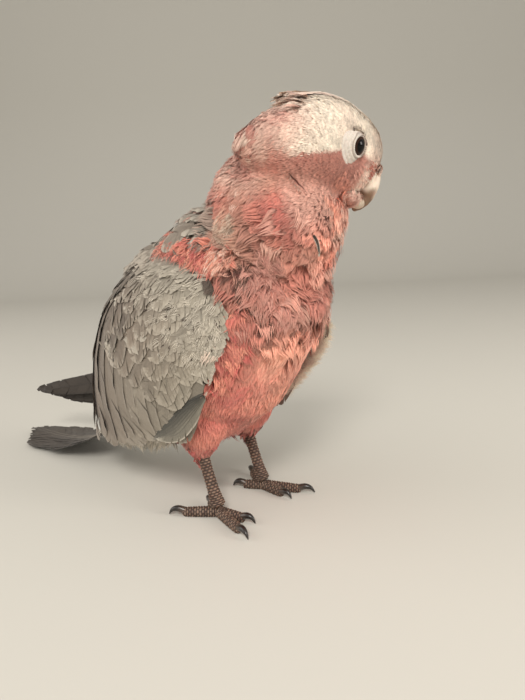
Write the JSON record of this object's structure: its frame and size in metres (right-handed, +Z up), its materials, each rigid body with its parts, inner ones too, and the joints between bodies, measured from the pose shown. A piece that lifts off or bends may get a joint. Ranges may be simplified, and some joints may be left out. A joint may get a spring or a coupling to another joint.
{
  "type": "galah",
  "caption": "Life-size still galah standing on flat feet, wings folded, tail laid behind it and head turned to its left.",
  "frame": {"origin": "Middle of the bounding box, on the floor that the toes and the tail rest on.", "axes": "+X is the bird's left, +Y runs from its breast to its tail, +Z is up."},
  "size_m": [0.0988, 0.3088, 0.2078],
  "materials": {
    "rose": "soft feathers, salmon pink with grey roots",
    "cream": "soft feathers, cream white",
    "grey": "firm flight feathers, pale brown grey",
    "quill": "firm flight and tail feathers, dark brown",
    "scaly": "ringed scales",
    "horn": "chalky horn",
    "claw": "polished horn",
    "bare": "bare wrinkled skin",
    "eye": "wet, black"
  },
  "bodies": {
    "root": {"trunk": "rose", "neck": "rose", "head": "rose", "crest": "cream", "cere": "rose", "bill_upper": "horn", "bill_lower": "horn", "tail": "quill", "eye_right": "eye", "orbit_right": "bare", "wing_right": "grey", "primaries_right": "quill", "thigh_right": "rose", "tarsus_right": "scaly", "toe_right_inner_front": "scaly", "toe_right_outer_front": "scaly", "toe_right_outer_back": "scaly", "toe_right_inner_back": "scaly", "claw_right_inner_front": "claw", "claw_right_outer_front": "claw", "claw_right_outer_back": "claw", "claw_right_inner_back": "claw", "eye_left": "eye", "orbit_left": "bare", "wing_left": "grey", "primaries_left": "quill", "thigh_left": "rose", "tarsus_left": "scaly", "toe_left_inner_front": "scaly", "toe_left_outer_front": "scaly", "toe_left_outer_back": "scaly", "toe_left_inner_back": "scaly", "claw_left_inner_front": "claw", "claw_left_outer_front": "claw", "claw_left_outer_back": "claw", "claw_left_inner_back": "claw"}
  },
  "joints": []
}
